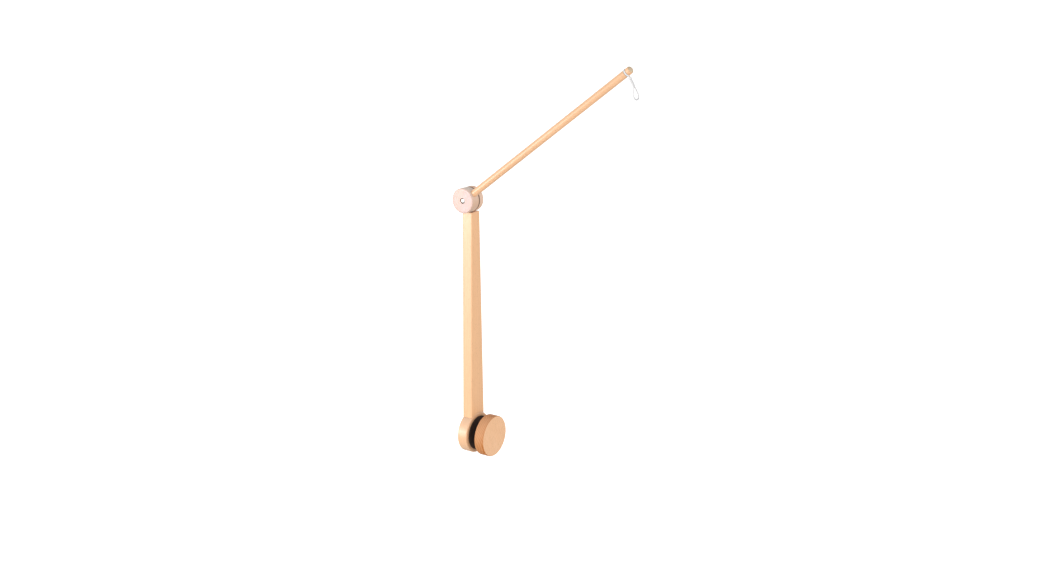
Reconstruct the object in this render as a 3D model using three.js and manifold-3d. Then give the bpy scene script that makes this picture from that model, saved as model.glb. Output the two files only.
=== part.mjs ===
// Wooden crib-mobile arm: a tapered post with a screw clamp at its foot and, at its head,
// a rod that tilts on a friction hinge and carries a cord loop at its tip.
// Millimetres. +X points in over the crib, +Y along the crib's side, +Z up.
// The origin is the centre of the clamp's outer pad, on the face that meets the slats.
import * as THREE from "three";
import { mergeVertices } from "three/addons/utils/BufferGeometryUtils.js";
import Module from "manifold-3d";

const wasm = await Module();
wasm.setup();

// ---- driving dimensions ----
const GAP = 0.3; // assembly gap between two pieces that touch
const RUNNING = 0.1; // radial clearance of a shaft that turns in its hole
const STOCK = 16; // thickness of the beech board

// clamp
const CLAMP_DISC_R = 30;
const PAD_R = 25;
const PAD_T = 1.2;
const SLAT_GAP = 10.3; // between the two pads as the clamp is set
const STUD_R = 4; // M8
const STUD_OUTER_END = -29;
const STUD_DEPTH_IN_KNOB = 12;

// post
const HINGE_Z = 347;
const POST_HALF_BOTTOM = 15.3;
const POST_HALF_TOP = 9.5;
const POST_EDGE = 1.0; // eased edge
const POST_LOW = 22; // where the board ends before its foot is hollowed

// head
const HEAD_R = 17.5;
const ARM_DISC_FRONT = -20.3;
const SEAM = 1.0; // space between the two head discs
const HEAD_DISC_T = 9.5;
const BOLT_R = 2; // M4
const BOLT_HEAD_R = 3.7;
const BOLT_HEAD_T = 2.4;
const BOLT_DOME = 1.6; // height of the head's dome
const BOLT_NECK = 4.2; // square neck under the domed head
const BOLT_NECK_T = 3;
const NUT_FLATS = 7;
const NUT_HEX_T = 3.2;
const SEAM_WASHER_R = 16.3;

// rod
const ARM_ANGLE = 37.15; // degrees above the horizontal
const ROD_R = 5;
const ROD_START = 7;
const ROD_TIP = 318; // from the hinge axis
const ROD_NOSE = 4; // rounding of the tip
const GROOVE_AT = 309;
const GROOVE_DEPTH = 1.7;
const GROOVE_HALF_WIDTH = 1.6;

// cord
const CORD_R = 1.1;
const KNOT_R = 2;

// dowels
const DOWEL_R = 3;
const FOOT_DOWEL_Y = 7.5;

// ---- places that follow from them ----
const footInner = -(PAD_T + GAP);
const footOuter = footInner - STOCK;
const postX = (footInner + footOuter) / 2;
const knobPadBack = SLAT_GAP + PAD_T;
const knobBack = knobPadBack + GAP;
const knobFace = knobBack + STOCK;
const postTop = HINGE_Z - HEAD_R - GAP;
const armDiscBack = ARM_DISC_FRONT + STOCK;
const headDiscFront = armDiscBack + SEAM;
const headDiscBack = headDiscFront + HEAD_DISC_T;
const headDiscY = (headDiscFront + headDiscBack) / 2;
const armY = (ARM_DISC_FRONT + armDiscBack) / 2;
const armAngle = THREE.MathUtils.degToRad(ARM_ANGLE);

// ---- materials ----
const standard = (color, roughness, metalness) =>
  new THREE.MeshStandardMaterial({ color, roughness, metalness });
const BEECH = standard(0xe9bf94, 0.5, 0);
const BEECH_PALE = standard(0xf2dcc6, 0.5, 0);
const DOWEL_WOOD = standard(0xd9b184, 0.7, 0);
const RUBBER = standard(0x2a1d16, 0.85, 0);
const STEEL = standard(0xc9cacc, 0.28, 1);
const FIBRE = standard(0x4a3a30, 0.8, 0);
const COTTON = standard(0xeeecea, 0.9, 0);

// ---- solids ----
// A closed mesh as a solid for cutting.
function solid(geometry) {
  const plain = geometry.clone();
  plain.deleteAttribute("normal");
  plain.deleteAttribute("uv");
  const merged = mergeVertices(plain, 1e-4);
  return new wasm.Manifold(
    new wasm.Mesh({
      numProp: 3,
      vertProperties: new Float32Array(merged.attributes.position.array),
      triVerts: new Uint32Array(merged.index.array),
    }),
  );
}

// A solid as a geometry again.
function geometryOf(manifold) {
  const mesh = manifold.getMesh();
  const geometry = new THREE.BufferGeometry();
  geometry.setAttribute("position", new THREE.BufferAttribute(mesh.vertProperties, 3));
  geometry.setIndex(new THREE.BufferAttribute(mesh.triVerts, 1));
  geometry.computeVertexNormals();
  return geometry;
}

// Body with each of the tools cut out of it.
function cut(body, ...tools) {
  return geometryOf(tools.reduce((left, tool) => left.subtract(solid(tool)), solid(body)));
}

// ---- shapes ----
// Profile points [radius, height] turned about Z; the profile runs up its outer side.
function turned(points, segments) {
  const profile = points.map(([radius, height]) => new THREE.Vector2(radius, height));
  return new THREE.LatheGeometry(profile, segments).rotateX(Math.PI / 2);
}

// Points of an arc in a profile, as [radius, height]; the angles are in degrees.
function arc(centreR, centreH, radius, from, to, steps) {
  return Array.from({ length: steps + 1 }, (_, i) => {
    const angle = THREE.MathUtils.degToRad(from + ((to - from) * i) / steps);
    return [centreR + radius * Math.cos(angle), centreH + radius * Math.sin(angle)];
  });
}

// Round board between two heights, with both edges rounded over.
function roundBoard(radius, low, high, edge, segments) {
  return turned(
    [
      [0, low],
      ...arc(radius - edge, low + edge, edge, -90, 0, 3),
      ...arc(radius - edge, high - edge, edge, 0, 90, 3),
      [0, high],
    ],
    segments,
  );
}

// Plain pin along Z with a small chamfer at each end.
function pin(radius, low, high, chamfer, segments = 24) {
  return turned(
    [
      [0, low],
      [radius - chamfer, low],
      [radius, low + chamfer],
      [radius, high - chamfer],
      [radius - chamfer, high],
      [0, high],
    ],
    segments,
  );
}

// Cylinder along Z, used to bore holes.
function bore(radius, low, high, segments = 24) {
  return turned([[0, low], [radius, low], [radius, high], [0, high]], segments);
}

// Flat ring along Z.
function ring(outer, inner, low, high, segments = 36) {
  return turned([[inner, low], [outer, low], [outer, high], [inner, high], [inner, low]], segments);
}

// Each turns a shape built along Z onto its own line: the clamp's, the hinge's and the rod's.
const clampPlace = (geometry) => geometry.rotateY(Math.PI / 2);
const hingePlace = (geometry) => geometry.rotateX(-Math.PI / 2).translate(postX, 0, HINGE_Z);
const rodPlace = (geometry) =>
  geometry.rotateY(Math.PI / 2 - armAngle).translate(postX, armY, HINGE_Z);

// ---- clamp ----
const TEE_BARREL_R = 5;
const TEE_FLANGE_R = 11;
const TEE_FLANGE_T = 1.5;
const TEE_DEPTH = 11;

function footDisc() {
  const flangeSeat = footOuter + TEE_FLANGE_T + GAP;
  return cut(
    clampPlace(roundBoard(CLAMP_DISC_R, footOuter, footInner, 1.6, 56)),
    clampPlace(bore(STUD_R + 0.5, footOuter - 1, footInner + 1)),
    clampPlace(bore(TEE_BARREL_R + GAP, footOuter - 1, footOuter + TEE_DEPTH)),
    clampPlace(bore(TEE_FLANGE_R + GAP, footOuter - 1, flangeSeat)),
    ...[-1, 1].map((side) => footDowelHole(side)),
  );
}

// Flanged nut that the stud threads through.
function teeNut() {
  const inner = STUD_R + RUNNING;
  const flangeTop = footOuter + TEE_FLANGE_T;
  const barrelTop = footOuter + TEE_DEPTH - GAP;
  return clampPlace(
    turned(
      [
        [inner, footOuter],
        [TEE_FLANGE_R, footOuter],
        [TEE_FLANGE_R, flangeTop],
        [TEE_BARREL_R, flangeTop],
        [TEE_BARREL_R, barrelTop],
        [inner, barrelTop],
        [inner, footOuter],
      ],
      32,
    ),
  );
}

const pad = (low, holeR) => clampPlace(ring(PAD_R, holeR, low, low + PAD_T, 56));

const INSERT_R = 6;
const INSERT_FLANGE_R = 8;
const INSERT_FLANGE_T = 1.4;

function clampKnob() {
  return cut(
    clampPlace(roundBoard(CLAMP_DISC_R, knobBack, knobFace, 1.8, 56)),
    clampPlace(bore(INSERT_R + GAP, knobBack - 1, knobBack + STUD_DEPTH_IN_KNOB + GAP)),
    clampPlace(bore(INSERT_FLANGE_R + GAP, knobBack - 1, knobBack + INSERT_FLANGE_T + GAP)),
  );
}

// Flanged insert that holds the stud in the knob.
function knobInsert() {
  const inner = STUD_R + GAP;
  const flangeTop = knobBack + INSERT_FLANGE_T;
  const barrelTop = knobBack + STUD_DEPTH_IN_KNOB;
  return clampPlace(
    turned(
      [
        [inner, knobBack],
        [INSERT_FLANGE_R, knobBack],
        [INSERT_FLANGE_R, flangeTop],
        [INSERT_R, flangeTop],
        [INSERT_R, barrelTop],
        [inner, barrelTop],
        [inner, knobBack],
      ],
      32,
    ),
  );
}

const clampStud = () => clampPlace(pin(STUD_R, STUD_OUTER_END, knobBack + STUD_DEPTH_IN_KNOB, 0.9));

// ---- post ----
const FOOT_DOWEL_LOW = 16;
const FOOT_DOWEL_HIGH = 43;
const HEAD_DOWEL_LOW = postTop - 14;
const HEAD_DOWEL_HIGH = postTop + 10;

function footDowelHole(side) {
  return bore(DOWEL_R + GAP, FOOT_DOWEL_LOW, FOOT_DOWEL_HIGH).translate(postX, side * FOOT_DOWEL_Y, 0);
}

function footDowel(side) {
  return pin(DOWEL_R, FOOT_DOWEL_LOW + GAP, FOOT_DOWEL_HIGH - GAP, 0.6).translate(
    postX,
    side * FOOT_DOWEL_Y,
    0,
  );
}

const headDowelHole = () =>
  bore(DOWEL_R + GAP, HEAD_DOWEL_LOW, HEAD_DOWEL_HIGH).translate(postX, headDiscY, 0);

const headDowel = () =>
  pin(DOWEL_R, HEAD_DOWEL_LOW + GAP, HEAD_DOWEL_HIGH - GAP, 0.6).translate(postX, headDiscY, 0);

// Tapered board; its lower end is hollowed to sit on the foot disc's rim.
function post() {
  const outline = new THREE.Shape([
    new THREE.Vector2(POST_HALF_BOTTOM, POST_LOW),
    new THREE.Vector2(POST_HALF_TOP, postTop),
    new THREE.Vector2(-POST_HALF_TOP, postTop),
    new THREE.Vector2(-POST_HALF_BOTTOM, POST_LOW),
  ]);
  const board = new THREE.ExtrudeGeometry(outline, {
    depth: STOCK - 2 * POST_EDGE,
    bevelThickness: POST_EDGE,
    bevelSize: POST_EDGE,
    bevelOffset: -POST_EDGE,
    bevelSegments: 2,
  });
  // The outline's first axis becomes Y, its second Z, and the depth runs along X.
  const toRowFrame = new THREE.Matrix4().makeBasis(
    new THREE.Vector3(0, 1, 0),
    new THREE.Vector3(0, 0, 1),
    new THREE.Vector3(1, 0, 0),
  );
  board.applyMatrix4(toRowFrame).translate(footOuter + POST_EDGE, 0, 0);
  return cut(
    board,
    clampPlace(bore(CLAMP_DISC_R + GAP, footOuter - 1, footInner + 1, 56)),
    headDowelHole(),
    ...[-1, 1].map((side) => footDowelHole(side)),
  );
}

// ---- head ----
const boltBore = (radius, low, high) => hingePlace(bore(radius, low, high));

function headDisc() {
  return cut(
    hingePlace(roundBoard(HEAD_R, headDiscFront, headDiscBack, 1.3, 48)),
    boltBore(BOLT_R + RUNNING, headDiscFront - 1, headDiscBack + 1),
    headDowelHole(),
  );
}

const boltFront = ARM_DISC_FRONT + 0.3; // the domed head sits just below the face
const neckFront = boltFront + BOLT_HEAD_T;
const neckBack = neckFront + BOLT_NECK_T;

const boltNeck = (side, low, high) =>
  new THREE.BoxGeometry(side, high - low, side)
    .rotateY(-armAngle)
    .translate(postX, (low + high) / 2, HINGE_Z);

function armDisc() {
  return cut(
    hingePlace(roundBoard(HEAD_R, ARM_DISC_FRONT, armDiscBack, 1.5, 48)),
    boltBore(BOLT_HEAD_R + GAP, ARM_DISC_FRONT - 1, neckFront + GAP),
    boltNeck(BOLT_NECK + 2 * GAP, neckFront - 1, neckBack + GAP),
    boltBore(BOLT_R + GAP, neckFront, armDiscBack + 1),
    rodPlace(bore(ROD_R + GAP, ROD_START - GAP, HEAD_R + 5)),
  );
}

const WASHER_T = 1.2;
const SPRING_T = 1.1;
const washerFront = headDiscBack + GAP;
const springFront = washerFront + WASHER_T + GAP;
const nutFront = springFront + SPRING_T + GAP;
const boltEnd = nutFront + 4.5;

// Domed head, square neck and plain shank in one piece.
function pivotBolt() {
  const dome = arc(0, 0, 1, -90, 0, 5).map(([r, h]) => [BOLT_HEAD_R * r, boltFront + BOLT_DOME * (1 + h)]);
  const body = hingePlace(
    turned(
      [
        ...dome,
        [BOLT_HEAD_R, neckFront],
        [BOLT_R, neckFront],
        [BOLT_R, boltEnd - 0.6],
        [BOLT_R - 0.6, boltEnd],
        [0, boltEnd],
      ],
      28,
    ),
  );
  return geometryOf(solid(body).add(solid(boltNeck(BOLT_NECK, neckFront - 0.4, neckBack))));
}

const frictionWasher = () =>
  hingePlace(ring(SEAM_WASHER_R, BOLT_R + GAP, armDiscBack + 0.25, headDiscFront - 0.25, 48));

const pivotWasher = () => hingePlace(ring(6, BOLT_R + GAP, washerFront, washerFront + WASHER_T, 32));

// Split ring.
function springWasher() {
  const outer = 3.9;
  const inner = BOLT_R + GAP;
  const slit = THREE.MathUtils.degToRad(8);
  const outline = new THREE.Shape();
  outline.absarc(0, 0, outer, slit, 2 * Math.PI - slit, false);
  outline.absarc(0, 0, inner, 2 * Math.PI - slit, slit, true);
  outline.closePath();
  const body = new THREE.ExtrudeGeometry(outline, {
    depth: SPRING_T,
    bevelEnabled: false,
    curveSegments: 24,
  });
  return hingePlace(body.translate(0, 0, springFront));
}

// Cap nut: a hexagon with a dome, blind inside.
function pivotNut() {
  const hexagon = new THREE.CylinderGeometry(
    NUT_FLATS / Math.sqrt(3),
    NUT_FLATS / Math.sqrt(3),
    NUT_HEX_T,
    6,
  ).rotateX(Math.PI / 2).translate(0, 0, nutFront + NUT_HEX_T / 2);
  const domeR = NUT_FLATS / 2 - 0.25;
  const domeBase = nutFront + NUT_HEX_T;
  const dome = turned(
    [[0, nutFront + 1], [domeR, nutFront + 1], ...arc(0, domeBase, domeR, 0, 90, 5)],
    28,
  );
  const outer = solid(hexagon).add(solid(dome));
  const hole = solid(bore(BOLT_R + GAP, nutFront - 1, boltEnd + GAP));
  return hingePlace(geometryOf(outer.subtract(hole)));
}

// ---- rod ----
function armRod() {
  const floorR = ROD_R - GROOVE_DEPTH;
  const floorHalf = GROOVE_HALF_WIDTH - 0.5;
  return rodPlace(
    turned(
      [
        [0, ROD_START],
        [ROD_R - 0.6, ROD_START],
        [ROD_R, ROD_START + 0.6],
        [ROD_R, GROOVE_AT - GROOVE_HALF_WIDTH],
        [floorR, GROOVE_AT - floorHalf],
        [floorR, GROOVE_AT + floorHalf],
        [ROD_R, GROOVE_AT + GROOVE_HALF_WIDTH],
        ...arc(ROD_R - ROD_NOSE, ROD_TIP - ROD_NOSE, ROD_NOSE, 0, 90, 5),
        [0, ROD_TIP],
      ],
      32,
    ),
  );
}

// ---- cord ----
const wrapR = ROD_R - GROOVE_DEPTH + GAP + CORD_R;
const knotDrop = wrapR + CORD_R + GAP + KNOT_R; // from the rod's axis to the knot's centre

function cordWrap() {
  return rodPlace(turned(arc(wrapR, GROOVE_AT, CORD_R, -180, 180, 8), 24));
}

function cordKnot() {
  const knot = turned(arc(0, 0, KNOT_R, -90, 90, 8), 16);
  return rodPlace(knot.translate(knotDrop, 0, GROOVE_AT));
}

// Middle line of the hanging loop, as [across, down] from the knot's centre:
// one strand, the bend, the other strand.
const LOOP_DROP = 28;
const LOOP_POINTS = [
  [-1.3, 2.5],
  [-1.3, 6.0],
  [-1.4, 10.0],
  [-2.1, 14.5],
  [-3.5, 19.0],
  [-4.4, 23.6],
  [-3.1, 26.7],
  [0.0, LOOP_DROP],
  [3.1, 26.7],
  [4.4, 23.6],
  [3.5, 19.0],
  [2.1, 14.5],
  [1.4, 10.0],
  [1.3, 6.0],
  [1.3, 2.5],
];
const LOOP_TURN = 15; // degrees that the loop's plane is turned about the line it hangs on
const LOOP_LEAN_TOP = ARM_ANGLE; // degrees from plumb: it leaves the knot square to the rod
const LOOP_LEAN_END = 14; // and hangs nearly plumb at its lower end

// Where a point of the loop lies once the loop leans: the lean eases from the knot downwards, and the
// loop's width stays square to the line it hangs on.
function leaned(across, down) {
  const steps = 24;
  const length = down / steps;
  const turn = THREE.MathUtils.degToRad(LOOP_TURN);
  const leanAt = (depth) =>
    THREE.MathUtils.degToRad(LOOP_LEAN_END + (LOOP_LEAN_TOP - LOOP_LEAN_END) * (1 - depth / LOOP_DROP) ** 2);
  const here = leanAt(down);
  const inward = across * Math.sin(turn);
  const point = new THREE.Vector3(inward * Math.cos(here), across * Math.cos(turn), inward * Math.sin(here));
  for (let i = 0; i < steps; i += 1) {
    const lean = leanAt(length * (i + 0.5));
    point.x += Math.sin(lean) * length;
    point.z -= Math.cos(lean) * length;
  }
  return point;
}

function cordLoop() {
  const path = new THREE.CatmullRomCurve3(LOOP_POINTS.map(([across, down]) => leaned(across, down)));
  const section = new THREE.Shape();
  section.absarc(0, 0, CORD_R, 0, 2 * Math.PI, false);
  const tube = new THREE.ExtrudeGeometry(section, { steps: 26, extrudePath: path, curveSegments: 8 });
  const knotX = postX + Math.cos(armAngle) * GROOVE_AT + Math.sin(armAngle) * knotDrop;
  const knotZ = HINGE_Z + Math.sin(armAngle) * GROOVE_AT - Math.cos(armAngle) * knotDrop;
  return tube.translate(knotX, armY, knotZ);
}

// ---- assembly ----
const group = new THREE.Group();

function add(name, geometry, material) {
  const mesh = new THREE.Mesh(geometry, material);
  mesh.name = name;
  group.add(mesh);
}

add("post", post(), BEECH);
add("foot_disc", footDisc(), BEECH);
add("foot_dowel_front", footDowel(-1), DOWEL_WOOD);
add("foot_dowel_rear", footDowel(1), DOWEL_WOOD);
add("foot_pad", pad(-PAD_T, STUD_R + 0.5), RUBBER);
add("tee_nut", teeNut(), STEEL);
add("knob_pad", pad(SLAT_GAP, STUD_R + RUNNING), RUBBER);
add("clamp_knob", clampKnob(), BEECH);
add("knob_insert", knobInsert(), STEEL);
add("clamp_stud", clampStud(), STEEL);
add("head_disc", headDisc(), BEECH);
add("head_dowel", headDowel(), DOWEL_WOOD);
add("friction_washer", frictionWasher(), FIBRE);
add("arm_disc", armDisc(), BEECH_PALE);
add("arm_rod", armRod(), BEECH);
add("pivot_bolt", pivotBolt(), STEEL);
add("pivot_washer", pivotWasher(), STEEL);
add("spring_washer", springWasher(), STEEL);
add("pivot_nut", pivotNut(), STEEL);
add("cord_wrap", cordWrap(), COTTON);
add("cord_knot", cordKnot(), COTTON);
add("cord_loop", cordLoop(), COTTON);

export default group;
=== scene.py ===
# A wooden crib-mobile arm: beech post and discs, a screw clamp at the foot, a friction hinge at the
# head and a rod with a cotton cord loop at its tip.
# Shapes are worked out in millimetres and written in metres, in the part's own frame.
import math

import bpy
from mathutils import Matrix, Vector

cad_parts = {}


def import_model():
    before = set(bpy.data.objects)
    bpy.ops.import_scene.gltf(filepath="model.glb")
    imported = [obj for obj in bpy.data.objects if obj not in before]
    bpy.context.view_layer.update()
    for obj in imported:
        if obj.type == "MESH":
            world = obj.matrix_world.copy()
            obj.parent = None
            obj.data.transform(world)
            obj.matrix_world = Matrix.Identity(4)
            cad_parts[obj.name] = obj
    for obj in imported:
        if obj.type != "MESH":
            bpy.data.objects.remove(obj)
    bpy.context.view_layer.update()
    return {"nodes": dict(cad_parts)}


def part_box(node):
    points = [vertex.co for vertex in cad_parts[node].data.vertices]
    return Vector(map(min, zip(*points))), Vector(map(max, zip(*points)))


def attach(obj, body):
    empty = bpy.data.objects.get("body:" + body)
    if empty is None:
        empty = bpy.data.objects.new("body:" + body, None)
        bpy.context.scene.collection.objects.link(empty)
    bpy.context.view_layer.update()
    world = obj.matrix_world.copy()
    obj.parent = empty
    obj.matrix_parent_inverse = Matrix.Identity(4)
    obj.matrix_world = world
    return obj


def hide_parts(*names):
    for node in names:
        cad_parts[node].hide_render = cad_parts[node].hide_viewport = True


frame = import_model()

MM = 0.001


# ---- the CAD model's places, in millimetres ----
def node_box(node):
    low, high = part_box(node)
    return low / MM, high / MM


foot_low, foot_high = node_box("foot_disc")
knob_low, knob_high = node_box("clamp_knob")
foot_pad_low, foot_pad_high = node_box("foot_pad")
knob_pad_low, knob_pad_high = node_box("knob_pad")
tee_low, tee_high = node_box("tee_nut")
insert_low, insert_high = node_box("knob_insert")
stud_low, stud_high = node_box("clamp_stud")
post_low, post_high = node_box("post")
head_low, head_high = node_box("head_disc")
arm_low, arm_high = node_box("arm_disc")
friction_low, friction_high = node_box("friction_washer")
bolt_low, bolt_high = node_box("pivot_bolt")
washer_low, washer_high = node_box("pivot_washer")
spring_low, spring_high = node_box("spring_washer")
nut_low, nut_high = node_box("pivot_nut")

CLAMP_R = (foot_high.z - foot_low.z) / 2
HEAD_R = (head_high.z - head_low.z) / 2
hinge = Vector(((arm_low.x + arm_high.x) / 2, (arm_low.y + arm_high.y) / 2, (arm_low.z + arm_high.z) / 2))
post_x = (foot_low.x + foot_high.x) / 2
head_y = (head_low.y + head_high.y) / 2

# ---- sizes shared with the CAD model, in millimetres ----
GAP = 0.3
STUD_R = 4.0
BOLT_R = 2.0
BOLT_NECK = 4.2
DOWEL_R = 3.0
FOOT_DOWEL_Y = 7.5
FOOT_DOWEL_LOW = 16.0
FOOT_DOWEL_HIGH = 43.0
POST_HALF_TOP = 9.5
POST_HALF_BOTTOM = 15.3
POST_TAPER_LOW = 22.0
ARM_ANGLE = math.radians(37.15)
ROD_R = 5.0
ROD_START = 7.0
ROD_TIP = 318.0
GROOVE_AT = 309.0
GROOVE_DEPTH = 1.7
GROOVE_HALF_WIDTH = 1.6
CORD_R = 1.1
KNOT_DROP = 8.1
LOOP_DROP = 28.0

# ---- sizes of the finer details, in millimetres ----
FOOT_ROUNDING = 1.6
KNOB_ROUNDING = 1.8
HEAD_ROUNDING = 1.3
ARM_ROUNDING = 1.5
CLOSE_GAP = 0.1
WIDE_GAP = 0.5
ROD_GAP = 0.12
THREAD_PITCH = 1.25
THREAD_DEPTH = 0.68
TEE_BARREL_R = 5.0
TEE_FLANGE = 1.5
TEE_RECESS_R = 11.3
TEE_HOLE_DEPTH = 11.0
TEE_NOTCH_R = 2.6
INSERT_BARREL_R = 6.0
INSERT_FLANGE = 1.4
INSERT_RECESS_R = 8.3
BOLT_HEAD_R = 3.7
BOLT_DOME = 1.6
BOLT_HEAD = 2.4
BOLT_NECK_DEPTH = 3.0
OVERCUT = 1.0  # how far a cutter stands out of the board it cuts

neck_low = bolt_low.y + BOLT_HEAD
neck_high = neck_low + BOLT_NECK_DEPTH
rod_along = Vector((math.cos(ARM_ANGLE), 0, math.sin(ARM_ANGLE)))
rod_below = Vector((math.sin(ARM_ANGLE), 0, -math.cos(ARM_ANGLE)))

# Each frame takes a shape built about Z onto its own line.
CLAMP_FRAME = Matrix(((0, 0, 1, 0), (0, 1, 0, 0), (-1, 0, 0, 0), (0, 0, 0, 1)))
HINGE_FRAME = Matrix(((1, 0, 0, hinge.x), (0, 0, 1, 0), (0, -1, 0, hinge.z), (0, 0, 0, 1)))
NECK_FRAME = HINGE_FRAME @ Matrix.Rotation(math.pi / 4 - ARM_ANGLE, 4, "Z")
ROD_FRAME = Matrix(
    (
        (rod_below.x, 0, rod_along.x, hinge.x),
        (0, 1, 0, hinge.y),
        (rod_below.z, 0, rod_along.z, hinge.z),
        (0, 0, 0, 1),
    )
)


# ---- camera ----
CAMERA_PLACE = (0.9363, -1.3350, 0.6750)
CAMERA_LENS = 40.916
CAMERA_YAW = math.radians(32.631)
CAMERA_DOWN = math.radians(15.577)


def make_camera():
    data = bpy.data.cameras.new("camera")
    data.lens = CAMERA_LENS
    data.sensor_width = 36.0
    data.clip_end = 100
    camera = bpy.data.objects.new("camera", data)
    camera.location = CAMERA_PLACE
    camera.rotation_euler = (math.pi / 2 - CAMERA_DOWN, 0, CAMERA_YAW)
    bpy.context.scene.collection.objects.link(camera)
    bpy.context.scene.camera = camera


make_camera()


# ---- meshes ----
SHARP = 32  # degrees between faces from which an edge stays sharp


def new_piece(name, points, faces, material, edge=None, sharp=SHARP):
    """A mesh object from points in millimetres, shaded smooth apart from its sharp edges."""
    mesh = bpy.data.meshes.new(name)
    mesh.from_pydata([Vector(p) * MM for p in points], [], faces)
    if edge is not None:
        attribute = mesh.attributes.new("edge", "FLOAT", "POINT")
        attribute.data.foreach_set("value", edge)
    mesh.validate()
    mesh.shade_smooth()
    mesh.set_sharp_from_angle(angle=math.radians(sharp))
    mesh.materials.append(material)
    piece = bpy.data.objects.new(name, mesh)
    bpy.context.scene.collection.objects.link(piece)
    return piece


def arc(centre_r, centre_h, radius, start, end, steps):
    """Profile points of a rounded corner as (radius, height, edge): edge is 1 at the middle of the arc."""
    points = []
    for i in range(steps + 1):
        angle = math.radians(start + (end - start) * i / steps)
        edge = math.sin(math.pi * i / steps)
        points.append((centre_r + radius * math.cos(angle), centre_h + radius * math.sin(angle), edge))
    return points


def turned(name, profile, place, material, segments=96, closed=False, shape=None, sharp=SHARP):
    """A profile of (radius, height[, edge]) turned about Z, then placed.
    shape(angle, radius, height) may give another radius."""
    profile = [p if len(p) == 3 else (*p, 0.0) for p in profile]
    points, edge, rows, faces = [], [], [], []
    for radius, height, wear in profile:
        if radius < 1e-9:
            rows.append([len(points)] * segments)
            points.append(place @ Vector((0, 0, height)))
            edge.append(wear)
            continue
        rows.append(list(range(len(points), len(points) + segments)))
        for i in range(segments):
            angle = 2 * math.pi * i / segments
            r = shape(angle, radius, height) if shape else radius
            points.append(place @ Vector((r * math.cos(angle), r * math.sin(angle), height)))
            edge.append(wear)
    count = len(rows)
    for j in range(count if closed else count - 1):
        a, b = rows[j], rows[(j + 1) % count]
        for i in range(segments):
            k = (i + 1) % segments
            face = [a[i], a[k], b[k], b[i]]
            face = [v for n, v in enumerate(face) if v != face[n - 1]]
            if len(face) > 2:
                faces.append(face)
    return new_piece(name, points, faces, material, edge, sharp)


def round_board(radius, low, high, rounding):
    """Profile of a disc with both edges rounded over; a ring inside each edge keeps its face flat."""
    flat_r = radius - rounding - 3
    return [
        (0, low),
        (flat_r, low),
        *arc(radius - rounding, low + rounding, rounding, -90, 0, 8),
        *arc(radius - rounding, high - rounding, rounding, 0, 90, 8),
        (flat_r, high),
        (0, high),
    ]


def flat_ring(outer, inner, low, high, bevel):
    """Closed profile of a washer with its outer edges eased."""
    return [
        (inner, low),
        (outer - bevel, low),
        (outer, low + bevel, 0.7),
        (outer, high - bevel, 0.7),
        (outer - bevel, high),
        (inner, high),
    ]


def cutter(radius, low, high, place, segments=64):
    """A cylinder that cuts a hole; it isn't part of the object."""
    profile = [(0, low), (radius, low), (radius, high), (0, high)]
    return turned("cutter", profile, place, None, segments)


def cut(piece, cutters):
    """Cuts the cutters out of the piece, for good."""
    for tool in cutters:
        modifier = piece.modifiers.new("cut", "BOOLEAN")
        modifier.operation = "DIFFERENCE"
        modifier.solver = "EXACT"
        modifier.object = tool
    bpy.context.view_layer.update()
    evaluated = piece.evaluated_get(bpy.context.evaluated_depsgraph_get())
    mesh = bpy.data.meshes.new_from_object(evaluated)
    piece.modifiers.clear()
    piece.data = mesh
    mesh.shade_smooth()
    mesh.set_sharp_from_angle(angle=math.radians(SHARP))
    for tool in cutters:
        bpy.data.objects.remove(tool)
    return piece


def fit(piece, body, slot, node):
    """The piece stands for the CAD node and moves with its body."""
    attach(piece, body)
    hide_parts(node)


# ---- material graphs ----
class Graph:
    """A material's nodes. Each call adds one node and returns its output."""

    def __init__(self, name):
        self.material = bpy.data.materials.new(name)
        self.material.use_nodes = True
        self.tree = self.material.node_tree
        self.shader = self.tree.nodes["Principled BSDF"]

    def node(self, kind, inputs, output=0, **settings):
        node = self.tree.nodes.new(kind)
        for key, value in settings.items():
            setattr(node, key, value)
        for key, value in inputs.items():
            self.join(node.inputs[key], value)
        return node.outputs[output]

    def join(self, socket, value):
        if isinstance(value, bpy.types.NodeSocket):
            self.tree.links.new(value, socket)
        else:
            socket.default_value = value

    def math(self, operation, a, b=0.0):
        return self.node("ShaderNodeMath", {0: a, 1: b}, operation=operation)

    def scaled(self, vector, scale):
        return self.node("ShaderNodeVectorMath", {0: vector, 1: scale}, operation="MULTIPLY")

    def noise(self, vector, scale, detail=2.0, roughness=0.5):
        inputs = {"Vector": vector, "Scale": scale, "Detail": detail, "Roughness": roughness}
        return self.node("ShaderNodeTexNoise", inputs)

    def span(self, value, low, high, to_low=0.0, to_high=1.0):
        inputs = {"Value": value, "From Min": low, "From Max": high, "To Min": to_low, "To Max": to_high}
        return self.node("ShaderNodeMapRange", inputs, interpolation_type="SMOOTHSTEP")

    def mix(self, factor, a, b):
        node = self.tree.nodes.new("ShaderNodeMix")
        node.data_type = "RGBA"
        self.join(node.inputs["Factor"], factor)
        self.join(node.inputs["A"], a)
        self.join(node.inputs["B"], b)
        return node.outputs["Result"]

    def place(self, rotation=(0, 0, 0)):
        """Object coordinates in millimetres, turned."""
        where = self.node("ShaderNodeTexCoord", {}, "Object")
        inputs = {"Vector": where, "Rotation": rotation, "Scale": (1 / MM, 1 / MM, 1 / MM)}
        return self.node("ShaderNodeMapping", inputs, vector_type="POINT")

    def bump(self, height, depth_mm, strength=1.0):
        inputs = {"Height": height, "Distance": depth_mm * MM, "Strength": strength}
        self.join(self.shader.inputs["Normal"], self.node("ShaderNodeBump", inputs))

    def finish(self, **sockets):
        for key, value in sockets.items():
            self.join(self.shader.inputs[key.replace("_", " ")], value)
        return self.material


def rgb(red, green, blue):
    return (red, green, blue, 1.0)


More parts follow.
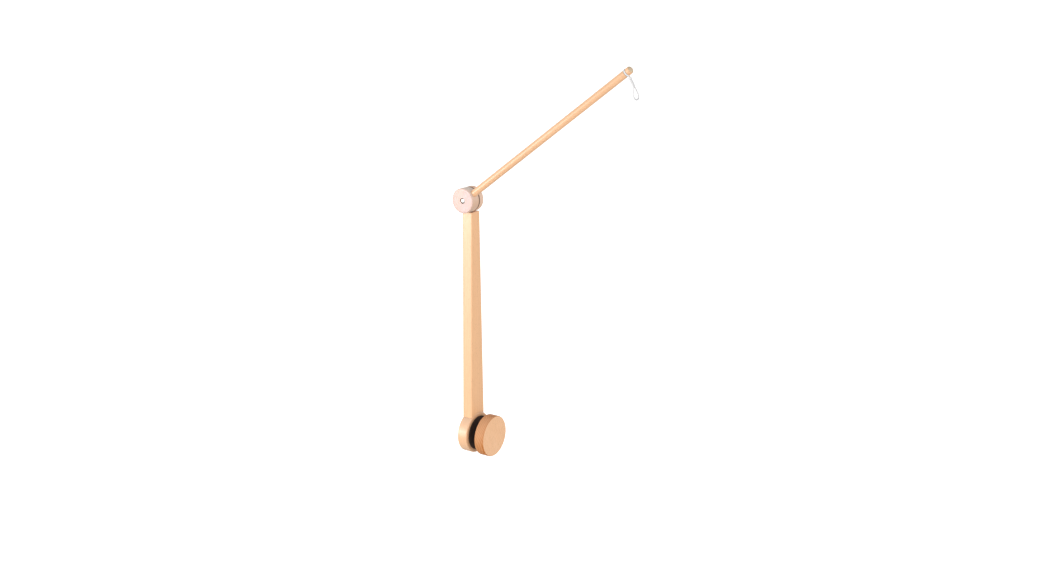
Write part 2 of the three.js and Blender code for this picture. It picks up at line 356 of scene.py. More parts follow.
def grain_turn(along, across):
    """Rotation that takes the board's length to Z and its width to X."""
    z = Vector(along).normalized()
    y = z.cross(Vector(across)).normalized()
    x = y.cross(z)
    return Matrix((x, y, z)).to_euler("XYZ"), z


# ---- materials ----
def beech(
    name, along, across, pith, pale, deep, seed=0.0,
    axis=None, face=None, rim=None, face_from=(0.6, 0.95), seam_shade_y=None, matt=0.0,
    end_grain=rgb(0.66, 0.52, 0.42), end_strength=0.6,
):
    """Lacquered beech: faint growth rings round the pith, short dark flecks and fine fibres along the board.
    A round piece has its axis and may have other colours on its ends and its rim; a seam height along
    Y marks a joint whose edges get painted shade, a dark band for the shade in the crevice; matt takes the
    gloss off."""
    g = Graph(name)
    turn, length = grain_turn(along, across)
    where = g.place(turn)
    shifted = g.node("ShaderNodeVectorMath", {0: where, 1: (seed, -seed, 2 * seed)}, operation="ADD")
    # growth rings: distance from the pith, waved along the board
    wave = g.noise(g.scaled(shifted, (0.03, 0.03, 0.006)), 1.0, 3.0)
    flat = g.scaled(where, (1, 1, 0))
    radius = g.node("ShaderNodeVectorMath", {0: flat, 1: (*pith, 0)}, "Value", operation="DISTANCE")
    ring = g.math("FRACT", g.math("ADD", g.math("MULTIPLY", radius, 1 / 2.6), g.math("MULTIPLY", wave, 5.0)))
    late = g.span(ring, 0.35, 1.0)
    # broad warm and cool drifts along the board
    drift = g.noise(g.scaled(shifted, (0.045, 0.045, 0.009)), 1.0, 2.0)
    # fine fibres
    fibre = g.noise(g.scaled(shifted, (3.2, 3.2, 0.09)), 1.0, 4.0, 0.6)
    # short ray flecks, one in each stretched cell
    cells = g.scaled(shifted, (1.15, 1.15, 0.24))
    inputs = {"Vector": cells, "Scale": 1.0, "Randomness": 1.0}
    near = g.node("ShaderNodeTexVoronoi", inputs, "Distance", feature="F1")
    few = g.span(g.noise(g.scaled(shifted, (0.4, 0.4, 0.12)), 1.0, 1.0), 0.35, 0.6)
    fleck = g.math("MULTIPLY", g.span(near, 0.24, 0.12), few)
    # end grain is greyer and less smooth
    normal = g.node("ShaderNodeTexCoord", {}, "Normal")
    facing = g.node("ShaderNodeVectorMath", {0: normal, 1: length}, "Value", operation="DOT_PRODUCT")
    end = g.math("POWER", g.math("ABSOLUTE", facing), 2.0)
    edge = g.node("ShaderNodeAttribute", {}, "Fac", attribute_name="edge")

    if axis:
        flatness = g.node("ShaderNodeVectorMath", {0: normal, 1: axis}, "Value", operation="DOT_PRODUCT")
        flat_face = g.span(g.math("ABSOLUTE", flatness), *face_from)
        pale = g.mix(flat_face, rim or pale, face or pale)
    colour = g.mix(g.math("MULTIPLY", late, 0.45), pale, deep)
    colour = g.mix(g.span(drift, 0.3, 0.7, 0.0, 0.35), colour, deep)
    colour = g.mix(g.span(fibre, 0.35, 0.7, 0.0, 0.3), colour, tuple(c * 0.76 for c in deep[:3]) + (1,))
    colour = g.mix(g.math("MULTIPLY", fleck, 0.7), colour, tuple(c * 0.45 for c in deep[:3]) + (1,))
    colour = g.mix(g.math("MULTIPLY", end, end_strength), colour, end_grain)
    colour = g.mix(g.math("MULTIPLY", edge, 0.2), colour, pale)
    # painted shade: within about 1.6 mm of the seam height the wood turns dark brown, standing in for the
    # shade in the joint
    if seam_shade_y:
        parts = g.node("ShaderNodeSeparateXYZ", {"Vector": g.place()}, "Y")
        off = g.math("ABSOLUTE", g.math("SUBTRACT", parts, seam_shade_y))
        colour = g.mix(g.span(off, 1.6, 0.8, 0.0, 0.85), colour, rgb(0.11, 0.055, 0.03))
    low = 0.36 + 0.16 * matt
    rough = g.math("ADD", g.span(fibre, 0.3, 0.7, low, low + 0.14), g.math("MULTIPLY", end, 0.08))
    height = g.math("SUBTRACT", g.math("MULTIPLY", fibre, 0.6), g.math("MULTIPLY", fleck, 0.5))
    g.bump(height, 0.05, 0.6)
    gloss = {"Specular_IOR_Level": 0.5 - 0.35 * matt, "Coat_Weight": 0.15 * (1 - matt), "Coat_Roughness": 0.3}
    return g.finish(Base_Color=colour, Roughness=rough, **gloss)


def raw_dowel():
    g = Graph("dowel_wood")
    where = g.place()
    fibre = g.noise(g.scaled(where, (3.0, 3.0, 0.2)), 1.0, 3.0)
    colour = g.mix(g.span(fibre, 0.3, 0.7), rgb(0.72, 0.5, 0.3), rgb(0.55, 0.36, 0.2))
    g.bump(fibre, 0.08)
    return g.finish(Base_Color=colour, Roughness=0.75)


def plated_steel(name, axis, centre, turned_marks=1.0):
    """Bright zinc plating with fine turning marks round an axis and faint handling scratches."""
    g = Graph(name)
    turn, _ = grain_turn(axis, (0, 0, 1) if abs(axis[2]) < 0.9 else (1, 0, 0))
    where = g.place(turn)
    middle = turn.to_matrix() @ Vector(centre)
    flat = g.scaled(where, (1, 1, 0))
    inputs = {0: flat, 1: (middle.x, middle.y, 0)}
    radius = g.node("ShaderNodeVectorMath", inputs, "Value", operation="DISTANCE")
    lines = g.node("ShaderNodeTexNoise", {"W": radius, "Scale": 9.0, "Detail": 3.0}, noise_dimensions="1D")
    blotch = g.noise(where, 0.35, 3.0)
    scratch = g.noise(g.scaled(where, (0.6, 9.0, 0.6)), 1.0, 3.0)
    marks = g.math("MULTIPLY", lines, turned_marks)
    colour = g.mix(g.span(blotch, 0.35, 0.65), rgb(0.80, 0.80, 0.79), rgb(0.68, 0.69, 0.71))
    rough = g.math("ADD", g.span(blotch, 0.3, 0.7, 0.16, 0.26), g.math("MULTIPLY", marks, 0.14))
    g.bump(g.math("ADD", marks, g.math("MULTIPLY", scratch, 0.4)), 0.012, 0.6)
    return g.finish(Base_Color=colour, Roughness=rough, Metallic=1.0)


def rubber_pad():
    """Dark brown rubber with a fine pebbled skin."""
    g = Graph("rubber")
    where = g.place()
    inputs = {"Vector": where, "Scale": 1.5, "Randomness": 1.0}
    pebble = g.node("ShaderNodeTexVoronoi", inputs, "Distance", feature="SMOOTH_F1")
    dust = g.noise(where, 0.25, 4.0)
    colour = g.mix(g.span(dust, 0.4, 0.75), rgb(0.035, 0.016, 0.010), rgb(0.075, 0.042, 0.030))
    edge = g.node("ShaderNodeAttribute", {}, "Fac", attribute_name="edge")
    colour = g.mix(g.math("MULTIPLY", edge, 0.3), colour, rgb(0.09, 0.065, 0.05))
    g.bump(g.math("SUBTRACT", 1.0, pebble), 0.12, 0.7)
    return g.finish(Base_Color=colour, Roughness=g.span(dust, 0.3, 0.7, 0.62, 0.82))


def fibre_washer():
    g = Graph("fibre")
    where = g.place()
    fibres = g.noise(g.scaled(where, (2.0, 0.4, 2.0)), 1.0, 4.0)
    colour = g.mix(g.span(fibres, 0.3, 0.7), rgb(0.07, 0.045, 0.03), rgb(0.035, 0.022, 0.015))
    g.bump(fibres, 0.05)
    return g.finish(Base_Color=colour, Roughness=0.8)


def cotton(loop_end):
    """White cotton: fine fibres, and a little painted shade that greys the hollows between the yarns and the
    loop's bend at its lower end.
    """
    bend_shade_length = 10.0
    g = Graph("cotton")
    where = g.place()
    fuzz = g.noise(where, 3.5, 4.0, 0.7)
    soil = g.noise(where, 0.3, 2.0)
    yarn_hollow_shade = g.node("ShaderNodeAttribute", {}, "Fac", attribute_name="edge")
    colour = g.mix(g.span(fuzz, 0.3, 0.75), rgb(0.73, 0.725, 0.73), rgb(0.82, 0.815, 0.82))
    colour = g.mix(g.span(soil, 0.4, 0.8, 0.0, 0.25), colour, rgb(0.73, 0.725, 0.735))
    # painted shade: the hollows between the yarns are greyed
    colour = g.mix(g.math("MULTIPLY", yarn_hollow_shade, 0.35), colour, rgb(0.50, 0.495, 0.51))
    # painted shade: the last 10 mm of the loop above its lowest point, its bend, turns grey
    height = g.node("ShaderNodeSeparateXYZ", {"Vector": where}, "Z")
    bend_shade = g.span(height, loop_end + bend_shade_length, loop_end, 0.0, 0.6)
    colour = g.mix(bend_shade, colour, rgb(0.42, 0.42, 0.44))
    g.bump(fuzz, 0.08, 0.8)
    return g.finish(Base_Color=colour, Roughness=0.9, Sheen_Weight=0.25, Sheen_Roughness=0.4)


PALE = rgb(0.88, 0.535, 0.31)
DEEP = rgb(0.77, 0.43, 0.22)
# the height along Y of the joint between the arm and head discs, where both discs get painted shade
SEAM_SHADE_Y = (arm_high.y + head_low.y) / 2
x_axis, y_axis = (1, 0, 0), (0, 1, 0)
beech_post = beech("beech_post", (0, 0, 1), y_axis, (38, 55), rgb(0.86, 0.50, 0.26), DEEP, 3.1)
beech_foot = beech("beech_foot", (0, 0, 1), y_axis, (-45, 60), PALE, DEEP, 17.3)
# painted shade: the knob's dark deep-orange rim colour stands in for shade falling on its rim; its faces keep
# the paler wood
beech_knob = beech(
    "beech_knob", (0, 0.4, -0.92), (0, 0.92, 0.4), (40, 48), rgb(0.88, 0.555, 0.345), DEEP, 31.7, x_axis,
    rim=rgb(0.45, 0.125, 0.01), matt=1.0, end_strength=0.15,
)
beech_head = beech("beech_head", (1, 0, 0.2), y_axis, (30, -52), rgb(0.86, 0.53, 0.38), DEEP, 47.9, seam_shade_y=SEAM_SHADE_Y)
# The arm disc's pale end-grain colour is partly end grain and partly painted light, brightening the top and
# the bottom of its rim, the bottom where shade falls above the post.
beech_arm = beech(
    "beech_arm", (0.25, 0, 1), (1, 0, -0.25), (20, 64), PALE, DEEP, 59.2, y_axis,
    face=rgb(0.60, 0.42, 0.435), rim=rgb(0.62, 0.45, 0.36), seam_shade_y=SEAM_SHADE_Y,
    end_grain=rgb(0.80, 0.68, 0.60), end_strength=0.85,
)
beech_rod = beech(
    "beech_rod", rod_along, y_axis, (14, 30), PALE, DEEP, 71.4, rod_along,
    face=rgb(0.40, 0.36, 0.22), face_from=(0.1, 0.7),
)
dowel_wood = raw_dowel()
steel_clamp = plated_steel("steel_clamp", (1, 0, 0), (0, 0, 0))
steel_hinge = plated_steel("steel_hinge", (0, 1, 0), hinge, 0.6)
rubber = rubber_pad()
fibre = fibre_washer()


# ---- the cord ----
# Middle line of the hanging loop, as (across, down) from the knot's centre: one strand, the bend,
# the other strand. These are the CAD model's points.
LOOP_POINTS = [
    (-1.3, 2.5),
    (-1.3, 6.0),
    (-1.4, 10.0),
    (-2.1, 14.5),
    (-3.5, 19.0),
    (-4.4, 23.6),
    (-3.1, 26.7),
    (0.0, LOOP_DROP),
    (3.1, 26.7),
    (4.4, 23.6),
    (3.5, 19.0),
    (2.1, 14.5),
    (1.4, 10.0),
    (1.3, 6.0),
    (1.3, 2.5),
]
LEAN_END = math.radians(14)
LOOP_TURN = math.radians(15)
knot_centre = Vector((hinge.x, hinge.y, hinge.z)) + rod_along * GROOVE_AT + rod_below * KNOT_DROP
white_cotton = cotton(knot_centre.z - LOOP_DROP)


def lean_at(down):
    """How far the loop's line is from plumb: it leaves the knot square to the rod and eases downwards."""
    return LEAN_END + (ARM_ANGLE - LEAN_END) * (1 - down / LOOP_DROP) ** 2


def leaned(across, down):
    """Where a point of the loop lies. The loop's plane is turned about the line it hangs on."""
    steps = 24
    length = down / steps
    inward = across * math.sin(LOOP_TURN)
    here = lean_at(down)
    offset = Vector((inward * math.cos(here), across * math.cos(LOOP_TURN), inward * math.sin(here)))
    point = knot_centre + offset
    for i in range(steps):
        lean = lean_at(length * (i + 0.5))
        point += Vector((math.sin(lean), 0, -math.cos(lean))) * length
    return point


def smooth_line(points, per_span):
    """Points along a Catmull-Rom curve through the given ones."""
    line = []
    for i in range(len(points) - 1):
        p1, p2 = points[i], points[i + 1]
        p0 = points[i - 1] if i else 2 * p1 - p2
        p3 = points[i + 2] if i + 2 < len(points) else 2 * p2 - p1
        for k in range(per_span):
            t = k / per_span
            line.append(
                0.5 * (2 * p1 + (p2 - p0) * t + (2 * p0 - 5 * p1 + 4 * p2 - p3) * t**2
                       + (3 * p1 - p0 - 3 * p2 + p3) * t**3)
            )
    line.append(points[-1])
    return line


def length_of(line):
    return sum((b - a).length for a, b in zip(line, line[1:]))


def laid_rope(name, line, radius, closed=False, strands=3, lay=4.2, around=24):
    """A tube along the line whose skin is that of a twisted cord: rounded strands that wind round it.
    An open cord has domed ends."""
    count = len(line)
    hollow_r, strand_rise = 0.83, 0.19  # in parts of the radius
    lay_turns = length_of(line + line[:1] if closed else line) / lay
    if closed:
        lay_turns = round(lay_turns * strands) / strands
    rings = []
    for i, centre in enumerate(line):
        before = line[i - 1] if i or closed else centre
        after = line[(i + 1) % count] if i + 1 < count or closed else centre
        rings.append((centre, (after - before).normalized(), 1.0, i / (count if closed else count - 1)))
    if not closed:
        domes = [math.radians(angle) for angle in (78, 58, 38, 18)]
        first, last = rings[0], rings[-1]
        start = [(first[0] - first[1] * radius * math.sin(a), first[1], math.cos(a), 0.0) for a in domes]
        end = [(last[0] + last[1] * radius * math.sin(a), last[1], math.cos(a), 1.0) for a in domes]
        rings = start + rings + end[::-1]
    points, edge, faces = [], [], []
    normal = rings[0][1].orthogonal().normalized()
    for centre, tangent, size, along in rings:
        normal = (normal - tangent * normal.dot(tangent)).normalized()
        side = tangent.cross(normal)
        twist = 2 * math.pi * lay_turns * along
        for k in range(around):
            angle = 2 * math.pi * k / around
            groove = abs(math.sin(strands * (angle - twist) / 2)) ** 0.6
            r = radius * size * (hollow_r + strand_rise * groove)
            points.append(centre + (normal * math.cos(angle) + side * math.sin(angle)) * r)
            # the depth of the hollows between strands, which the cotton greys as painted shade
            edge.append(1 - groove)
    count = len(rings)
    for i in range(count if closed else count - 1):
        a, b = i * around, ((i + 1) % count) * around
        for k in range(around):
            n = (k + 1) % around
            faces.append((a + k, a + n, b + n, b + k))
    if not closed:
        faces.append(tuple(range(around))[::-1])
        faces.append(tuple(range((count - 1) * around, count * around)))
    return new_piece(name, points, faces, white_cotton, edge, sharp=60)


def wrap_line():
    """One turn of cord fills the rod's groove."""
    radius = ROD_R - GROOVE_DEPTH + GAP + CORD_R
    steps = 72
    line = []
    for i in range(steps):
        angle = 2 * math.pi * i / steps
        line.append(ROD_FRAME @ Vector((radius * math.cos(angle), radius * math.sin(angle), GROOVE_AT)))
    return line


def knot_line():
    """An overhand knot: a trefoil drawn up between the wrap and the two ends of the loop."""
    steps, size, depth = 96, 0.62, 1.1
    line = []
    for i in range(steps):
        t = 2 * math.pi * i / steps
        down = size * (math.sin(t) + 2 * math.sin(2 * t))
        across = size * (math.cos(t) - 2 * math.cos(2 * t))
        out = -depth * math.sin(3 * t)
        turned_across = across * math.cos(LOOP_TURN) - out * math.sin(LOOP_TURN)
        turned_out = across * math.sin(LOOP_TURN) + out * math.cos(LOOP_TURN)
        line.append(ROD_FRAME @ Vector((KNOT_DROP + down, turned_across, GROOVE_AT + turned_out)))
    return line


loop_line = smooth_line([leaned(across, down) for across, down in LOOP_POINTS], per_span=8)
loop = laid_rope("hanging_loop", loop_line, CORD_R)
wrap = laid_rope("groove_wrap", wrap_line(), CORD_R, closed=True)
knot = laid_rope("loop_knot", knot_line(), 0.82 * CORD_R, closed=True)
fit(loop, "loop", "cotton", "cord_loop")
fit(wrap, "arm", "cotton", "cord_wrap")
fit(knot, "arm", "cotton", "cord_knot")
length_of(loop_line) * MM


# ---- clamp ----
def foot_disc():
    profile = round_board(CLAMP_R, foot_low.x, foot_high.x, FOOT_ROUNDING)
    board = turned("foot_board", profile, CLAMP_FRAME, beech_foot, segments=128)
    holes = [
        cutter(STUD_R + WIDE_GAP, foot_low.x - OVERCUT, foot_high.x + OVERCUT, CLAMP_FRAME),
        cutter(TEE_BARREL_R + GAP, foot_low.x - OVERCUT, foot_low.x + TEE_HOLE_DEPTH, CLAMP_FRAME),
        cutter(TEE_RECESS_R, foot_low.x - OVERCUT, foot_low.x + TEE_FLANGE + GAP, CLAMP_FRAME),
        *dowel_holes(),
    ]
    fit(cut(board, holes), "upright", "beech", "foot_disc")


def dowel_holes():
    for side in (-1, 1):
        place = Matrix.Translation((post_x, side * FOOT_DOWEL_Y, 0))
        yield cutter(DOWEL_R + GAP, FOOT_DOWEL_LOW, FOOT_DOWEL_HIGH, place, segments=32)


def head_dowel_hole():
    low, high = node_box("head_dowel")
    place = Matrix.Translation((post_x, head_y, 0))
    return cutter(DOWEL_R + GAP, low.z - GAP, high.z + GAP, place, segments=32)


def knob():
    profile = round_board(CLAMP_R, knob_low.x, knob_high.x, KNOB_ROUNDING)
    board = turned("knob_board", profile, CLAMP_FRAME, beech_knob, segments=128)
    holes = [
        cutter(INSERT_BARREL_R + GAP, knob_low.x - OVERCUT, insert_high.x + GAP, CLAMP_FRAME),
        cutter(INSERT_RECESS_R, knob_low.x - OVERCUT, knob_low.x + INSERT_FLANGE + GAP, CLAMP_FRAME),
    ]
    fit(cut(board, holes), "knob", "beech", "clamp_knob")


def pads():
    for name, low, high, hole, body, node in (
        ("foot_rubber", foot_pad_low, foot_pad_high, STUD_R + WIDE_GAP, "upright", "foot_pad"),
        ("knob_rubber", knob_pad_low, knob_pad_high, STUD_R + CLOSE_GAP, "loose_pad", "knob_pad"),
    ):
        outer = (high.z - low.z) / 2
        profile = flat_ring(outer, hole, low.x, high.x, 0.35)
        piece = turned(name, profile, CLAMP_FRAME, rubber, segments=112, closed=True)
        fit(piece, body, "rubber", node)


def thread(low, high, radius, depth, pitch, lead_in, rows_per_turn=8):
    """Profile rows and radius law of a screw thread with tapered ends."""
    rows = int((high - low) / pitch * rows_per_turn)
    end_r = radius - depth - 0.3
    crest_width, flank_slope = 1.4, 4.2  # in parts of the pitch
    profile = [(0, low), (end_r, low)]
    profile += [(radius, low + (high - low) * i / rows) for i in range(rows + 1)]
    profile += [(end_r, high), (0, high)]

    def shape(angle, r, height):
        if r < radius:
            return r
        turn = (height / pitch - angle / (2 * math.pi)) % 1.0
        crest = min(1.0, max(0.0, crest_width - abs(turn - 0.5) * flank_slope))
        fade = min(1.0, (height - low) / lead_in, (high - height) / lead_in)
        return radius - depth + depth * crest * max(fade, 0.0)

    return profile, shape


def stud():
    profile, shape = thread(stud_low.x, stud_high.x, STUD_R, THREAD_DEPTH, THREAD_PITCH, lead_in=1.2)
    piece = turned("threaded_stud", profile, CLAMP_FRAME, steel_clamp, segments=36, shape=shape, sharp=25)
    fit(piece, "knob", "steel", "clamp_stud")


def tee_nut():
    inner = STUD_R + CLOSE_GAP
    flange = (tee_high.z - tee_low.z) / 2
    profile = [
        (inner, tee_low.x + 0.5),
        (inner + 0.5, tee_low.x, 0.5),
        (flange - 0.4, tee_low.x),
        (flange, tee_low.x + 0.4, 0.7),
        (flange, tee_low.x + TEE_FLANGE),
        (TEE_BARREL_R, tee_low.x + TEE_FLANGE),
        (TEE_BARREL_R, tee_high.x),
        (inner, tee_high.x),
    ]
    piece = turned("tee_nut_pressed", profile, CLAMP_FRAME, steel_clamp, segments=96, closed=True)
    notches = []
    notch_at, notch_high = flange + 0.6, tee_low.x + 3
    for i in range(4):
        angle = math.radians(45 + 90 * i)
        place = CLAMP_FRAME @ Matrix.Translation((notch_at * math.cos(angle), notch_at * math.sin(angle), 0))
        notches.append(cutter(TEE_NOTCH_R, tee_low.x - OVERCUT, notch_high, place, segments=24))
    fit(cut(piece, notches), "upright", "steel", "tee_nut")


def knob_insert():
    inner = STUD_R + 2 * CLOSE_GAP
    flange = (insert_high.z - insert_low.z) / 2
    profile = [
        (inner, insert_low.x),
        (flange - 0.3, insert_low.x),
        (flange, insert_low.x + 0.3, 0.7),
        (flange, insert_low.x + INSERT_FLANGE),
        (INSERT_BARREL_R, insert_low.x + INSERT_FLANGE),
        (INSERT_BARREL_R, insert_high.x),
        (inner, insert_high.x),
    ]
    piece = turned("insert_flanged", profile, CLAMP_FRAME, steel_clamp, segments=72, closed=True)
    fit(piece, "knob", "steel", "knob_insert")


# ---- post ----
def post_half(height):
    """Half the post's width at a height."""
    along = (height - POST_TAPER_LOW) / (post_high.z - POST_TAPER_LOW)
    return POST_HALF_BOTTOM + (POST_HALF_TOP - POST_HALF_BOTTOM) * along


def post():
    """Tapered board as stacked sections with rounded corners; its foot is hollowed to sit on the disc."""
    corner, steps, spans = 1.3, 6, 12
    top_ease, top_steps, top_wear = 0.9, 4, 0.6
    half_x = (post_high.x - post_low.x) / 2
    straight = post_high.z - top_ease - POST_TAPER_LOW
    sections = [(POST_TAPER_LOW + straight * i / spans, 0.0) for i in range(spans + 1)]
    for i in range(1, top_steps + 1):
        angle = math.radians(90 * i / top_steps)
        sections.append((post_high.z - top_ease * (1 - math.sin(angle)), top_ease * (1 - math.cos(angle))))
    points, edge, faces = [], [], []
    for height, inset in sections:
        half_y = post_half(height) - inset
        wide = half_x - inset
        for sx, sy, start in ((1, 1, 0), (-1, 1, 90), (-1, -1, 180), (1, -1, 270)):
            for k in range(steps + 1):
                angle = math.radians(start + 90 * k / steps)
                x = sx * (wide - corner) + corner * math.cos(angle)
                y = sy * (half_y - corner) + corner * math.sin(angle)
                points.append((post_x + x, y, height))
                edge.append(math.sin(math.pi * k / steps) if inset == 0 else top_wear)
    ring = 4 * (steps + 1)
    for j in range(len(sections) - 1):
        for k in range(ring):
            n = (k + 1) % ring
            faces.append((j * ring + k, j * ring + n, (j + 1) * ring + n, (j + 1) * ring + k))
    faces.append(tuple(range(ring))[::-1])
    faces.append(tuple(range((len(sections) - 1) * ring, len(sections) * ring)))
    board = new_piece("post_board", points, faces, beech_post, edge)
    seat = cutter(CLAMP_R + GAP, post_low.x - OVERCUT, post_high.x + OVERCUT, CLAMP_FRAME, segments=160)
    fit(cut(board, [seat, head_dowel_hole(), *dowel_holes()]), "upright", "beech", "post")


# ---- head ----
def head_disc():
    profile = round_board(HEAD_R, head_low.y, head_high.y, HEAD_ROUNDING)
    board = turned("head_board", profile, HINGE_FRAME, beech_head, segments=112)
    bolt_hole = cutter(BOLT_R + CLOSE_GAP, head_low.y - OVERCUT, head_high.y + OVERCUT, HINGE_FRAME)
    fit(cut(board, [bolt_hole, head_dowel_hole()]), "upright", "beech", "head_disc")


def arm_disc():
    profile = round_board(HEAD_R, arm_low.y, arm_high.y, ARM_ROUNDING)
    board = turned("arm_board", profile, HINGE_FRAME, beech_arm, segments=112)
    neck_hole_r = (BOLT_NECK / 2 + GAP) * math.sqrt(2)
    holes = [
        cutter(BOLT_HEAD_R + GAP, arm_low.y - OVERCUT, neck_low + GAP, HINGE_FRAME),
        cutter(neck_hole_r, neck_low - OVERCUT, neck_high + GAP, NECK_FRAME, segments=4),
        cutter(BOLT_R + GAP, neck_low, arm_high.y + OVERCUT, HINGE_FRAME),
        cutter(ROD_R + ROD_GAP, ROD_START - GAP, HEAD_R + 5, ROD_FRAME),
    ]
    fit(cut(board, holes), "arm", "beech", "arm_disc")


def pivot_bolt():
    front = bolt_low.y
    chamfer = 0.6
    corner = BOLT_NECK / math.sqrt(2)
    profile = [(BOLT_HEAD_R * r, front + BOLT_DOME * (1 + h), 0.0) for r, h, _ in arc(0, 0, 1, -90, 0, 14)]
    profile[0] = (0, front, 0.0)
    profile += [
        (BOLT_HEAD_R, neck_low),
        (corner, neck_low),
        (corner, neck_high),
        (BOLT_R, neck_high),
        (BOLT_R, bolt_high.y - chamfer),
        (BOLT_R - chamfer, bolt_high.y),
        (0, bolt_high.y),
    ]

    def shape(angle, radius, height):
        """The neck under the head is square."""
        if radius != corner:
            return radius
        off_flat = (angle + ARM_ANGLE + math.pi / 4) % (math.pi / 2) - math.pi / 4
        return min(radius, BOLT_NECK / 2 / math.cos(off_flat))

    piece = turned("carriage_bolt", profile, HINGE_FRAME, steel_hinge, segments=72, shape=shape)
    fit(piece, "arm", "steel", "pivot_bolt")


def washers():
    for name, low, high, body, slot, material, node in (
        ("seam_washer", friction_low, friction_high, "upright", "fibre", fibre, "friction_washer"),
        ("flat_washer", washer_low, washer_high, "arm", "steel", steel_hinge, "pivot_washer"),
    ):
        outer = (high.z - low.z) / 2
        bevel = min(0.2, (high.y - low.y) / 4)
        profile = flat_ring(outer, BOLT_R + GAP, low.y, high.y, bevel)
        piece = turned(name, profile, HINGE_FRAME, material, segments=80, closed=True)
        fit(piece, body, slot, node)


def spring_washer():
    """A split ring whose ends stand a little apart."""
    low, high = spring_low.y, spring_high.y
    outer, inner, slit, steps, spread, bevel = 3.9, BOLT_R + GAP, math.radians(8), 72, 0.2, 0.12
    section = [
        (inner, -0.5),
        (outer - bevel, -0.5),
        (outer, -0.36),
        (outer, 0.36),
        (outer - bevel, 0.5),
        (inner, 0.5),
    ]
    thick, middle = (high - low) - spread, (low + high) / 2
    points, faces, size = [], [], len(section)
    for i in range(steps + 1):
        t = i / steps
        angle = slit + (2 * math.pi - 2 * slit) * t
        lift = spread * (t - 0.5)
        for radius, height in section:
            axial = middle + lift + height * thick
            points.append(HINGE_FRAME @ Vector((radius * math.cos(angle), radius * math.sin(angle), axial)))
    for i in range(steps):
        for k in range(size):
            n = (k + 1) % size
            faces.append((i * size + k, (i + 1) * size + k, (i + 1) * size + n, i * size + n))
    faces.append(tuple(range(size)))
    faces.append(tuple(range(steps * size, (steps + 1) * size))[::-1])
    piece = new_piece("split_washer", points, faces, steel_hinge)
    fit(piece, "arm", "steel", "spring_washer")


def cap_nut():
    low, high = nut_low.y, nut_high.y
    flats, hexagon_t, dome_r = 7.0, 3.2, 3.25
    corner = flats / math.sqrt(3)
    face_r = flats / 2 - 0.1
    chamfer = 0.5
    hole_r = BOLT_R + GAP
    dome_low = low + hexagon_t
    ends = (low + chamfer / 2, dome_low - chamfer / 2)
    profile = [
        (0, bolt_high.y + GAP),
        (hole_r, bolt_high.y + GAP),
        (hole_r, low + 0.3),
        (hole_r + 0.3, low),
        (face_r, low),
        (corner, ends[0]),
        (corner, low + chamfer),
        (corner, dome_low - chamfer),
        (corner, ends[1]),
        (face_r, dome_low),
        (dome_r, dome_low),
        *[(r, h, 0.0) for r, h, _ in arc(0, dome_low, dome_r, 4, 90, 16)],
    ]
    profile[-1] = (0, high)

    def shape(angle, radius, height):
        """Hexagon with its corners turned off at both faces."""
        if radius < corner:
            return radius
        flat = flats / 2 / math.cos((angle + math.pi / 6) % (math.pi / 3) - math.pi / 6)
        return min(flat, corner - 0.25) if height in ends else flat

    piece = turned("cap_nut", profile, HINGE_FRAME, steel_hinge, segments=96, shape=shape)
    fit(piece, "arm", "steel", "pivot_nut")


# ---- rod ----
def rod():
    floor_r = ROD_R - GROOVE_DEPTH
    nose = 4.0
    groove = [
        (ROD_R, GROOVE_AT - GROOVE_HALF_WIDTH - 0.25),
        (ROD_R - 0.08, GROOVE_AT - GROOVE_HALF_WIDTH, 1.0),
        (floor_r + 0.35, GROOVE_AT - GROOVE_HALF_WIDTH + 0.3),
        (floor_r, GROOVE_AT - GROOVE_HALF_WIDTH + 0.8),
        (floor_r, GROOVE_AT + GROOVE_HALF_WIDTH - 0.8),
        (floor_r + 0.35, GROOVE_AT + GROOVE_HALF_WIDTH - 0.3),
        (ROD_R - 0.08, GROOVE_AT + GROOVE_HALF_WIDTH, 1.0),
        (ROD_R, GROOVE_AT + GROOVE_HALF_WIDTH + 0.25),
    ]
    profile = [
        (0, ROD_START),
        (ROD_R - 0.6, ROD_START),
        (ROD_R, ROD_START + 0.6),
        *groove,
        *arc(ROD_R - nose, ROD_TIP - nose, nose, 0, 90, 12),
        (0, ROD_TIP),
    ]
    piece = turned("rod_turned", profile, ROD_FRAME, beech_rod, segments=72)
    fit(piece, "arm", "beech", "arm_rod")


foot_disc()
knob()
pads()
stud()
tee_nut()
knob_insert()
post()
head_disc()
arm_disc()
pivot_bolt()
washers()
spring_washer()
cap_nut()
rod()
for node in ("foot_dowel_front", "foot_dowel_rear", "head_dowel"):
    frame["nodes"][node].data.materials.clear()
    frame["nodes"][node].data.materials.append(dowel_wood)


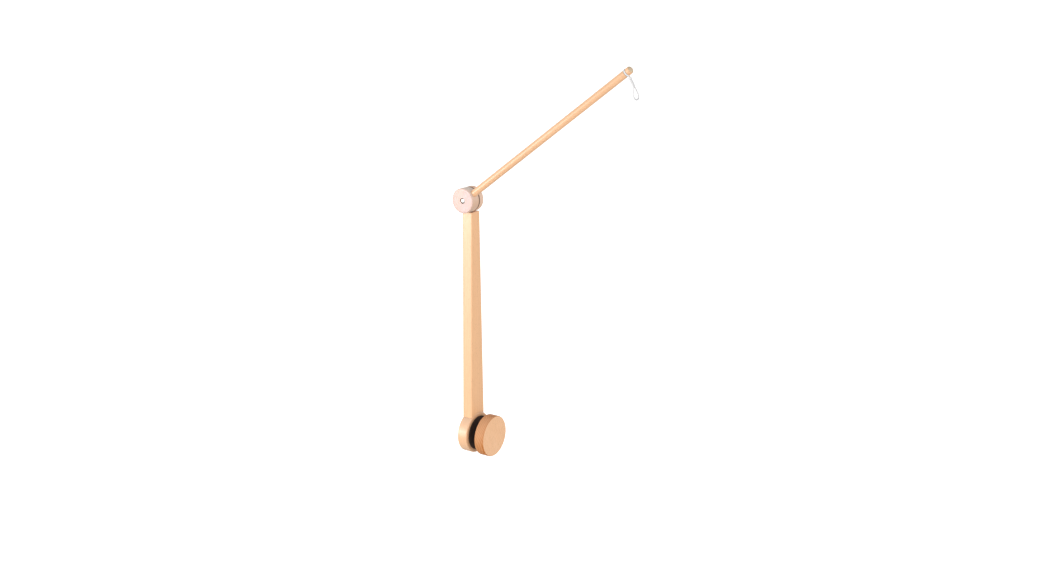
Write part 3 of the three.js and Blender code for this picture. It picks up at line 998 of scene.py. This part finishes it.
# ---- studio ----
def floor():
    """A white floor that reaches past the horizon. It glows, but lights nothing: the light from below
    is the world's."""
    g = Graph("floor")
    patch = g.noise(g.place(), 0.004, 2.0)
    colour = g.mix(g.span(patch, 0.3, 0.7), rgb(0.86, 0.86, 0.86), rgb(0.88, 0.88, 0.88))
    material = g.finish(Base_Color=colour, Roughness=0.9, Emission_Color=rgb(1, 1, 1), Emission_Strength=0.75)
    size, height = 150000.0, -760.0  # millimetres
    corners = [(-size, -size, height), (size, -size, height), (size, size, height), (-size, size, height)]
    ground = new_piece("floor", corners, [(0, 1, 2, 3)], material)
    ground.visible_diffuse = False
    ground.visible_glossy = False


def soft_light(name, place, aim, size, power, tint=(1.0, 1.0, 1.0), gloss_only=False):
    data = bpy.data.lights.new(name, "AREA")
    data.shape = "DISK"
    data.size = size
    data.energy = power
    data.color = tint
    light = bpy.data.objects.new(name, data)
    light.location = place
    light.rotation_euler = (Vector(aim) - Vector(place)).to_track_quat("-Z", "Y").to_euler()
    light.visible_diffuse = not gloss_only
    bpy.context.scene.collection.objects.link(light)


def world():
    """White all round at eye level, dimmer overhead and below."""
    sky = bpy.data.worlds.new("world")
    sky.use_nodes = True
    tree = sky.node_tree
    where = tree.nodes.new("ShaderNodeTexCoord")
    parts = tree.nodes.new("ShaderNodeSeparateXYZ")
    ramp = tree.nodes.new("ShaderNodeValToRGB")
    low, high = ramp.color_ramp.elements
    low.position, low.color = 0.3, rgb(0.58, 0.57, 0.56)
    high.position, high.color = 1.0, rgb(0.5, 0.5, 0.5)
    level = ramp.color_ramp.elements.new(0.5)
    level.color = rgb(1, 1, 1)
    height = tree.nodes.new("ShaderNodeMapRange")
    height.inputs["From Min"].default_value = -1.0
    tree.links.new(where.outputs["Generated"], parts.inputs["Vector"])
    tree.links.new(parts.outputs["Z"], height.inputs["Value"])
    tree.links.new(height.outputs["Result"], ramp.inputs["Fac"])
    tree.links.new(ramp.outputs["Color"], tree.nodes["Background"].inputs["Color"])
    bpy.context.scene.world = sky
    bpy.context.scene.view_settings.view_transform = "Standard"


floor()
world()
middle = (0.08, 0.0, 0.27)
head_place = (0.0, 0.0, 0.33)
soft_light("key", (-1.2, -2.0, 0.3), middle, size=1.6, power=34.0, tint=(1.0, 0.99, 0.97))
soft_light("fill", (2.2, -0.5, 0.4), middle, size=1.4, power=19.0)
soft_light("sheen", (-1.45, -2.0, 0.15), head_place, size=0.9, power=24.0, gloss_only=True)
